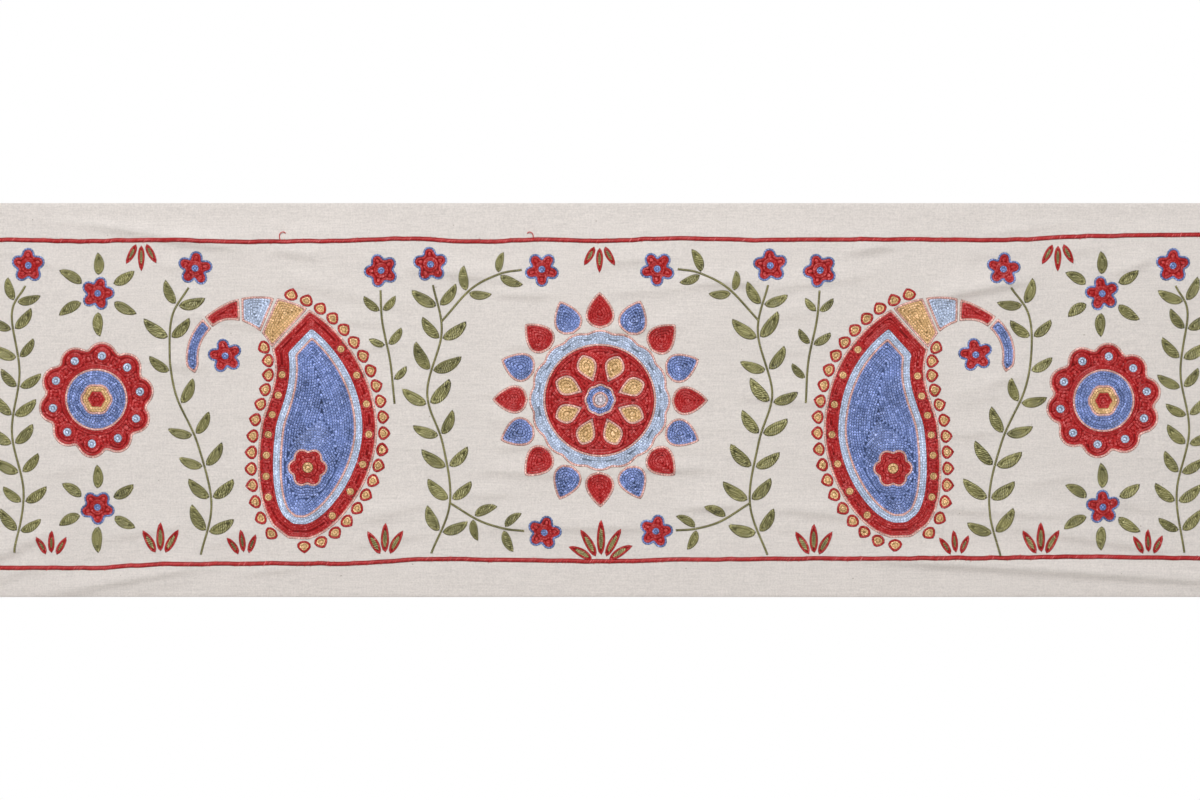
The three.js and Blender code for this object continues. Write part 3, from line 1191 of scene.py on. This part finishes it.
def thread_beds(rows, slots):
    """Low ridges of thread under rows, which close the gaps between their stitches and are painted
    darker, as shade in those gaps.
    """
    points, faces, kinds = [], [], []
    first = 0
    for row, slot in zip(rows, slots):
        line = row.ends
        if len(line) < 4:
            continue
        across = mitred(line) * row.width
        deeper = DEEPER_BED if np.allclose(line[0], line[-1]) else OUTER_BED
        edges = [line - OUTER_BED * across, line, line + deeper * across]
        points.append(np.stack(edges, axis=1).reshape(-1, 2))
        faces.append(first + tube_faces(len(line), len(edges)))
        kinds.append(np.full(len(faces[-1]), slot))
        first += len(points[-1])
    x, z = np.vstack(points).T
    y = front_y(x, z) - np.tile(BED_HEIGHTS, len(x) // len(BED_HEIGHTS))
    faces = np.vstack(faces)
    # Painted shade: the beds take a low tone, so the gaps between rows look dark
    return Part(
        np.stack([x, y, z], axis=1), faces, np.concatenate(kinds),
        np.full(len(x), PAINTED_BED_SHADE), np.zeros((faces.size, 2)), BED_CELLS,
    )


def back_runs(lines, slots, width):
    """Straight runs of thread along lines on the back of the cloth."""
    height = bpy.context.scene.suzani_stitch.height / 2
    starts, ends = ends_of(lines)
    model = run_model(1)
    count = len(starts)
    points, faces = laid_along(
        model, starts, ends, np.full(count, width), np.full(count, height), back_y, outward=1
    )
    return Part(
        points, faces, np.repeat(per_step(lines, slots), len(model.faces)),
        np.full(len(points), BACK_TONE), np.tile(model.uvs, (count, 1)), BACK_CELLS,
    )


def thread_tail(place, side, slot):
    """A loose end of thread that curls up from a place on the cloth."""
    x, z, rise = (np.array(TAIL_CURL) * MM).T
    path = soft_line(np.stack([place[0] + side * x, place[1] + z, rise], axis=1), steps=6)
    path = np.stack([path[:, 0], front_y(path[:, 0], path[:, 1]) - path[:, 2], path[:, 1]], axis=1)
    ahead = np.gradient(path, axis=0)
    ahead /= np.linalg.norm(ahead, axis=1)[:, None]
    out = np.cross(ahead, (0, 1, 0))
    out /= np.linalg.norm(out, axis=1)[:, None]
    up = np.cross(ahead, out)
    angles = 2 * math.pi * np.arange(TAIL_SIDES) / TAIL_SIDES
    thinning = np.append(np.ones(len(path) - 1), TAIL_TIP)[:, None, None]
    turned = np.cos(angles)[:, None] * out[:, None] + np.sin(angles)[:, None] * up[:, None]
    points = (path[:, None] + TAIL_RADIUS * thinning * turned).reshape(-1, 3)
    faces = tube_faces(len(path), TAIL_SIDES)[:, ::-1]
    return Part(
        points, faces, np.full(len(faces), slot), np.full(len(points), OWN_TONE),
        np.zeros((faces.size, 2)), FACE_CELLS,
    )


def joined(name, parts, threads):
    """A piece from parts: a slot for each thread, a tone for each point and a map for the bake."""
    points, faces, slots, tones, uvs, cells = zip(*parts)
    firsts = np.cumsum([0] + [len(some) for some in points[:-1]])
    to_room, to_wall = np.repeat(cells, [len(some) for some in faces], axis=0).T
    points = np.vstack(points)
    faces = np.vstack([some + first for some, first in zip(faces, firsts)])
    mesh = mesh_of(name, points, faces)
    for thread in threads:
        mesh.materials.append(thread_material(thread))
    mesh.polygons.foreach_set("material_index", np.concatenate(slots).astype(np.int32))
    tone = mesh.attributes.new("tone", "FLOAT", "POINT")
    tone.data.foreach_set("value", np.concatenate(tones).astype(np.float32))
    add_map(mesh, "strand", np.vstack(uvs))
    add_map(mesh, "OFBake", bake_places(points, faces, to_room, to_wall))
    mesh.update()
    return add_piece(name, mesh)


def add_map(mesh, name, uvs):
    mesh.uv_layers.new(name=name).data.foreach_set("uv", uvs.astype(np.float32).ravel())


def bake_places(points, faces, to_room, to_wall):
    """Lays the faces out flat for the bake. Those that look to the room or the wall have cells."""
    flat = points[:, [0, 2]]
    one, two, three = flat[faces].swapaxes(0, 1)
    cell = np.where(np.cross(two - one, three - one) > 0, to_room, to_wall)
    low = flat.min(axis=0)
    width, height = flat.max(axis=0) - low
    layouts = [(across, -(-CELL_COUNT // across)) for across in range(1, CELL_COUNT + 1)]
    across, down = min(layouts, key=lambda sides: max(sides[0] * width, sides[1] * height))
    side = (1 + 2 * BAKE_MARGIN) * max(across * width, down * height)
    corner = np.stack([(cell % across) * width, (cell // across) * height], axis=1)
    return (flat[faces] - low + corner[:, None]) / side + BAKE_MARGIN


def worked_piece(name, works, rng, extra=()):
    """One piece from works: stitches and their beds on the face, and runs of thread behind."""
    stitch = bpy.context.scene.suzani_stitch
    rows = [row for work in works for row in rows_of(work, stitch)]
    threads = sorted({row.thread for row in rows})
    slots = [threads.index(row.thread) for row in rows]
    long_rows = [pair for pair in zip(rows, slots) if len(pair[0].ends) > BACK_STEP + 1]
    lines, line_slots = zip(*[(row.ends[::BACK_STEP], slot) for row, slot in long_rows])
    parts = [
        thread_beds(rows, slots),
        back_runs(lines, line_slots, BACK_WIDTH * stitch.row_width),
    ]
    chained = [pair for pair in zip(rows, slots) if not pair[0].slant]
    if chained:
        parts.append(face_stitches(*zip(*chained), chain_stitch_model(), rng))
    slanting = [pair for pair in zip(rows, slots) if pair[0].slant]
    if slanting:
        parts.append(face_stitches(*zip(*slanting), run_model(STRAND_WIDTH), rng))
    return joined(name, parts + list(extra), threads)


def hem_stitches(settings, pitch):
    """Slanted stitches across the inner edge of the hem, all round the back."""
    depth = settings.hem_depth
    right, top, foot = HALF_WIDTH - depth, -depth, depth - DROP
    corners = np.array([(-right, top), (right, top), (right, foot), (-right, foot)])
    lines = []
    for start, end in zip(corners, np.roll(corners, -1, axis=0)):
        span = np.hypot(*(end - start))
        ahead = (end - start) / span
        inward = np.array([ahead[1], -ahead[0]])
        outer = -HEM_STITCH_OUT * inward
        inner = HEM_STITCH_IN * inward + HEM_STITCH_ALONG * ahead
        count = round(span / pitch)
        for share in (np.arange(count) + 0.5) / count:
            place = start + share * (end - start)
            lines.append(np.array([place + outer, place + inner]))
    return back_runs(lines, [0] * len(lines), HEM_STITCH_WIDTH)


# Materials

def new_material(name):
    """A material, its tree of nodes and its surface shader."""
    material = bpy.data.materials.new(name)
    material.use_nodes = True
    return material, material.node_tree, material.node_tree.nodes["Principled BSDF"]


def set_inputs(tree, node, inputs):
    """Sets a node's inputs, by name or number, to values or links them. It gives its outputs."""
    for key, value in inputs.items():
        socket = node.inputs[key]
        if isinstance(value, bpy.types.NodeSocket):
            tree.links.new(value, socket)
        else:
            socket.default_value = value
    return node.outputs


def add_node(tree, kind, inputs):
    return set_inputs(tree, tree.nodes.new(kind), inputs)


def math_node(tree, operation, *inputs):
    node = tree.nodes.new("ShaderNodeMath")
    node.operation = operation
    return set_inputs(tree, node, dict(enumerate(inputs)))[0]


def place_node(tree):
    """Places on the object, in metres."""
    return tree.nodes.new("ShaderNodeTexCoord").outputs["Object"]


def noise_node(tree, place, scale, detail):
    """Noise on a place, with a scale along each axis in waves to the metre. It gives its output."""
    stretched = add_node(tree, "ShaderNodeMapping", {"Vector": place, "Scale": scale})["Vector"]
    return add_node(
        tree, "ShaderNodeTexNoise", {"Vector": stretched, "Scale": 1, "Detail": detail}
    )["Fac"]


def shade_node(tree, inputs):
    return add_node(tree, "ShaderNodeHueSaturation", inputs)["Color"]


def bump_node(tree, height, strength, distance):
    inputs = {"Height": height, "Strength": strength, "Distance": distance}
    return add_node(tree, "ShaderNodeBump", inputs)["Normal"]


def new_group(name, inputs, output, kind):
    """A node group with named inputs, each with its usual value, and one output of a kind."""
    group = bpy.data.node_groups.new(name, "ShaderNodeTree")
    for socket_name, input_kind, value in inputs:
        socket = group.interface.new_socket(socket_name, in_out="INPUT", socket_type=input_kind)
        socket.default_value = value
    group.interface.new_socket(output, in_out="OUTPUT", socket_type=kind)
    return group, group.nodes.new("NodeGroupInput").outputs, group.nodes.new("NodeGroupOutput")


def group_node(tree, group, values):
    """A group placed in a material's nodes, with values of its own."""
    node = tree.nodes.new("ShaderNodeGroup")
    node.node_tree = group
    return set_inputs(tree, node, values)


def dye_and_painted_shade_group():
    """Uneven hand dyeing with painted shade and highlight: the colour goes deep and pale along the
    rows and between them, darker where the tone holds painted shade and paler where it holds painted
    highlight.
    """
    name = "dyed_thread"
    if name in bpy.data.node_groups:
        return bpy.data.node_groups[name]
    inputs = (
        ("Dye", "NodeSocketColor", (1, 1, 1, 1)),
        ("Unevenness", "NodeSocketFloat", USUAL_DYE_AND_SHADE_STRENGTH),
    )
    group, given, result = new_group(name, inputs, "Color", "NodeSocketColor")
    # The tone holds random shades of dye, painted shade down the sides of stitches and in the beds,
    # and painted highlight over their tops
    tone = group.nodes.new("ShaderNodeAttribute")
    tone.attribute_name = "tone"
    off_tone = math_node(group, "SUBTRACT", tone.outputs["Fac"], OWN_TONE)
    noise = noise_node(group, place_node(group), (55, 55, 55), 3)
    patches = math_node(group, "MULTIPLY_ADD", noise, DYE_PATCHES, -DYE_PATCHES / 2)
    spread = math_node(group, "ADD", off_tone, patches)
    # Painted shade and highlight: value falls and rises with the tone, and the colour goes whiter as
    # the tone rises
    dyed = shade_node(group, {
        "Color": given["Dye"],
        "Value": math_node(group, "MULTIPLY_ADD", spread, given["Unevenness"], 1),
        "Saturation": math_node(group, "MULTIPLY_ADD", spread, FADING_AND_PAINTED_HIGHLIGHT, 1),
    })
    set_inputs(group, result, {"Color": dyed})
    return group


def plied_thread_group():
    """The twist of a plied thread, as ridges that slant round each strand."""
    name = "plied_thread"
    if name in bpy.data.node_groups:
        return bpy.data.node_groups[name]
    inputs = (("Turns", "NodeSocketFloat", 3),)
    group, given, result = new_group(name, inputs, "Height", "NodeSocketFloat")
    strand = group.nodes.new("ShaderNodeUVMap")
    strand.uv_map = "strand"
    parts = add_node(group, "ShaderNodeSeparateXYZ", {"Vector": strand.outputs["UV"]})
    turns = math_node(group, "MULTIPLY_ADD", parts["Y"], given["Turns"], parts["X"])
    ridge = math_node(group, "SINE", math_node(group, "MULTIPLY", turns, 2 * math.pi))
    set_inputs(group, result, {"Height": math_node(group, "MULTIPLY_ADD", ridge, 0.5, 0.5)})
    return group


def thread_material(thread):
    """Soft plied thread in one of the dyes, with the painted shade and highlight that its tone
    carries.
    """
    name = f"{thread}_thread"
    if name in bpy.data.materials:
        return bpy.data.materials[name]
    material, tree, surface = new_material(name)
    dye = (*getattr(bpy.context.scene.suzani_threads, thread), 1)
    dye_and_shade_strength = DYE_AND_SHADE_STRENGTH.get(thread, USUAL_DYE_AND_SHADE_STRENGTH)
    # The dye with the painted shade and highlight of its tone
    dyed = group_node(tree, dye_and_painted_shade_group(), {"Dye": dye, "Unevenness": dye_and_shade_strength})
    twist = group_node(tree, plied_thread_group(), {})
    set_inputs(tree, surface, {
        "Base Color": dyed["Color"],
        "Normal": bump_node(tree, twist["Height"], strength=0.5, distance=0.12 * MM),
        "Roughness": 0.4,
        "Specular IOR Level": 0.45,
        "Sheen Weight": 0.06,
        "Sheen Roughness": 0.4,
    })
    return material


def cotton_material(settings):
    """Undyed plain weave: fine threads, slubs along both ways, and dark seed flecks."""
    material, tree, surface = new_material("undyed_cotton")
    place = place_node(tree)
    parts = add_node(tree, "ShaderNodeSeparateXYZ", {"Vector": place})
    waves = 2 * math.pi / settings.weave_pitch
    warp, weft = (
        math_node(tree, "SINE", math_node(tree, "MULTIPLY", along, waves))
        for along in (parts["X"], parts["Z"])
    )
    warp_slubs = math_node(tree, "MULTIPLY", noise_node(tree, place, (700, 60, 60), 2), WARP_SLUBS)
    weft_slubs = noise_node(tree, place, (60, 60, 700), 2)
    slubs = math_node(tree, "MULTIPLY_ADD", weft_slubs, WEFT_SLUBS, warp_slubs)
    puckers = noise_node(tree, place, (11, 11, 140), 3)
    relief = math_node(tree, "MULTIPLY_ADD", puckers, PUCKER_RELIEF, slubs)
    weave = math_node(tree, "MULTIPLY", warp, weft)
    height = math_node(tree, "MULTIPLY_ADD", weave, WEAVE_RELIEF, relief)

    grain = noise_node(tree, place, (620, 620, 620), 1)
    shade = math_node(tree, "MULTIPLY_ADD", grain, GRAIN_SHADE, LEAST_SHADE)
    shade = math_node(tree, "MULTIPLY_ADD", slubs, SLUB_SHADE, shade)
    wear = noise_node(tree, place, (9, 9, 9), 4)
    shade = math_node(tree, "MULTIPLY_ADD", wear, WEAR_SHADE, shade)

    cells = add_node(tree, "ShaderNodeTexVoronoi", {"Vector": place, "Scale": FLECK_CELLS})
    choice = add_node(tree, "ShaderNodeSeparateXYZ", {"Vector": cells["Color"]})
    near = math_node(tree, "LESS_THAN", cells["Distance"], FLECK_RADIUS)
    chosen = math_node(tree, "GREATER_THAN", choice["X"], CELLS_WITHOUT)
    fleck = math_node(tree, "MULTIPLY", math_node(tree, "MULTIPLY", near, chosen), FLECK_STRENGTH)
    mix = tree.nodes.new("ShaderNodeMix")
    mix.data_type = "RGBA"
    flecked = set_inputs(tree, mix, {
        "Factor": fleck,
        "A": shade_node(tree, {"Color": (*settings.cotton, 1), "Value": shade}),
        "B": (*settings.fleck, 1),
    })
    set_inputs(tree, surface, {
        "Base Color": flecked["Result"],
        "Normal": bump_node(tree, height, strength=0.55, distance=0.25 * MM),
        "Roughness": 0.92,
        "Sheen Weight": 0.1,
        "Sheen Roughness": 0.6,
    })
    return material


def floor_material(settings):
    """Pale matt floor paint."""
    material, tree, surface = new_material("floor_paint")
    worn = noise_node(tree, place_node(tree), (3, 3, 3), 5)
    value = math_node(tree, "MULTIPLY_ADD", worn, 0.06, 0.97)
    paint = shade_node(tree, {"Color": (*settings.floor, 1), "Value": value})
    set_inputs(tree, surface, {"Base Color": paint, "Roughness": 0.8})
    return material


# Operators, one for each piece or group of like pieces

def work_halves(kind, seed, design):
    """Works a piece on each half, whose works a design gives from the side and chance."""
    for name, side in HALVES:
        rng = np.random.default_rng([SEED, seed, side + 1])
        worked_piece(f"{name}_{kind}", design(side, rng), rng)


class SUZANI_OT_middle_rosette(bpy.types.Operator):
    """Works the large rosette in the middle."""

    bl_idname = "suzani.middle_rosette"
    bl_label = "Middle rosette"

    def execute(self, context):
        worked_piece("middle_rosette", middle_rosette(), np.random.default_rng([SEED, 1]))
        return {"FINISHED"}


class SUZANI_OT_paisleys(bpy.types.Operator):
    """Works the two large paisleys."""

    bl_idname = "suzani.paisleys"
    bl_label = "Paisleys"

    def execute(self, context):
        row = context.scene.suzani_stitch.row_width
        work_halves("paisley", 2, lambda side, rng: paisley(side, row))
        return {"FINISHED"}


class SUZANI_OT_side_rosettes(bpy.types.Operator):
    """Works the studded rosette of each half."""

    bl_idname = "suzani.side_rosettes"
    bl_label = "Side rosettes"

    def execute(self, context):
        work_halves("rosette", 3, lambda side, rng: side_rosette(side))
        return {"FINISHED"}


class SUZANI_OT_vines(bpy.types.Operator):
    """Works the vines, flowers and tufts of each half."""

    bl_idname = "suzani.vines"
    bl_label = "Vines and flowers"

    def execute(self, context):
        stitch = context.scene.suzani_stitch
        work_halves("vines", 4, lambda side, rng: greenery(side, stitch, rng))
        return {"FINISHED"}


class SUZANI_OT_border_lines(bpy.types.Operator):
    """Works the two red border lines, and leaves the ends of two threads loose."""

    bl_idname = "suzani.border_lines"
    bl_label = "Border lines"

    def execute(self, context):
        stitch = context.scene.suzani_stitch
        tails = [thread_tail(np.array(place) * MM, side, 0) for *place, side in TAIL_PLACES]
        works = border_works(stitch.border_pitch)
        worked_piece("border_lines", works, np.random.default_rng([SEED, 5]), tails)
        return {"FINISHED"}


class SUZANI_OT_hem_stitches(bpy.types.Operator):
    """Sews the hem down along its inner edge at the back."""

    bl_idname = "suzani.hem_stitches"
    bl_label = "Hem stitches"

    def execute(self, context):
        scene = context.scene
        sewn = hem_stitches(scene.suzani_cloth, scene.suzani_stitch.hem_pitch)
        joined("hem_stitches", [sewn], ["hem"])
        return {"FINISHED"}


class SUZANI_OT_cotton_cloth(bpy.types.Operator):
    """Hangs the hemmed cloth with its folds, behind the embroidery that it carries."""

    bl_idname = "suzani.cotton_cloth"
    bl_label = "Cotton cloth"

    def execute(self, context):
        settings = context.scene.suzani_cloth
        mesh = cloth_mesh(settings)
        mesh.materials.append(cotton_material(settings))
        piece = add_piece("cotton_cloth", mesh)
        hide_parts("cloth")
        return {"FINISHED"}


class SUZANI_OT_stage(bpy.types.Operator):
    """Sets the floor, the soft light and the camera."""

    bl_idname = "suzani.stage"
    bl_label = "Stage"

    def execute(self, context):
        settings = context.scene.suzani_stage
        deselect_all()
        place = (0, -FLOOR_FORWARD, -DROP - settings.floor_drop)
        bpy.ops.mesh.primitive_plane_add(size=FLOOR_SIZE, location=place)
        floor = context.object
        floor.name = "floor"
        bpy.ops.object.transform_apply(location=True, rotation=True, scale=True)
        floor.data.materials.append(floor_material(settings))

        middle = Vector((0, 0, -DROP / 2))
        for name, place, size in LAMPS:
            add_lamp(f"{name}_light", place, middle, size, getattr(settings, f"{name}_power"))
        light_all_round(context.scene, settings.sky)

        camera = bpy.data.objects.new("camera", bpy.data.cameras.new("camera"))
        context.collection.objects.link(camera)
        camera.data.lens = CAMERA_LENS
        camera.data.sensor_width = CAMERA_SENSOR
        distance = PHOTO_SIZE[0] * PIXEL * CAMERA_LENS / CAMERA_SENSOR
        height = (TOP_EDGE_ROW - PHOTO_SIZE[1] / 2) * PIXEL
        camera.location = (0, -FACE_OUT - distance, height)
        camera.rotation_euler = (math.pi / 2, 0, 0)
        context.scene.camera = camera
        context.scene.view_settings.view_transform = "Standard"
        return {"FINISHED"}


def add_lamp(name, place, aim, size, power):
    lamp = bpy.data.lights.new(name, "AREA")
    lamp.energy = power
    lamp.size = size
    holder = bpy.data.objects.new(name, lamp)
    bpy.context.collection.objects.link(holder)
    holder.location = place
    holder.rotation_euler = (aim - Vector(place)).to_track_quat("-Z", "Y").to_euler()


def light_all_round(scene, strength):
    """Even light from all sides, behind which the camera sees white."""
    scene.world = bpy.data.worlds.new("studio")
    scene.world.use_nodes = True
    tree = scene.world.node_tree
    white = (1, 1, 1, 1)
    light = set_inputs(tree, tree.nodes["Background"], {"Color": white, "Strength": strength})
    seen = add_node(tree, "ShaderNodeBackground", {"Color": white})
    path = tree.nodes.new("ShaderNodeLightPath")
    mix = add_node(tree, "ShaderNodeMixShader", {
        "Fac": path.outputs["Is Camera Ray"], 1: light["Background"], 2: seen["Background"],
    })
    set_inputs(tree, tree.nodes["World Output"], {"Surface": mix["Shader"]})


class SUZANI_PT_hanging(bpy.types.Panel):
    """The hanging's sizes and colours, and a button for each piece."""

    bl_idname = "SUZANI_PT_hanging"
    bl_label = "Suzani wall hanging"
    bl_space_type = "VIEW_3D"
    bl_region_type = "UI"
    bl_category = "Suzani"

    def draw(self, context):
        for name, settings in SETTINGS.items():
            group = getattr(context.scene, name)
            box = self.layout.box()
            box.label(text=settings.__doc__)
            for setting in settings.__annotations__:
                box.prop(group, setting)
        for operator in OPERATORS:
            self.layout.operator(operator.bl_idname)


SETTINGS = {
    "suzani_cloth": SuzaniClothSettings,
    "suzani_stitch": SuzaniStitchSettings,
    "suzani_threads": SuzaniThreadSettings,
    "suzani_stage": SuzaniStageSettings,
}
OPERATORS = (
    SUZANI_OT_middle_rosette,
    SUZANI_OT_paisleys,
    SUZANI_OT_side_rosettes,
    SUZANI_OT_vines,
    SUZANI_OT_border_lines,
    SUZANI_OT_hem_stitches,
    SUZANI_OT_cotton_cloth,
    SUZANI_OT_stage,
)


def register():
    for cls in (*SETTINGS.values(), *OPERATORS, SUZANI_PT_hanging):
        bpy.utils.register_class(cls)
    for name, settings in SETTINGS.items():
        setattr(bpy.types.Scene, name, PointerProperty(type=settings))


def unregister():
    for name in SETTINGS:
        delattr(bpy.types.Scene, name)
    for cls in reversed((*SETTINGS.values(), *OPERATORS, SUZANI_PT_hanging)):
        bpy.utils.unregister_class(cls)


def main():
    register()
    bpy.ops.suzani.middle_rosette()
    bpy.ops.suzani.paisleys()
    bpy.ops.suzani.side_rosettes()
    bpy.ops.suzani.vines()
    bpy.ops.suzani.border_lines()
    bpy.ops.suzani.hem_stitches()
    bpy.ops.suzani.cotton_cloth()
    bpy.ops.suzani.stage()
    deselect_all()


if __name__ == "__main__":
    main()
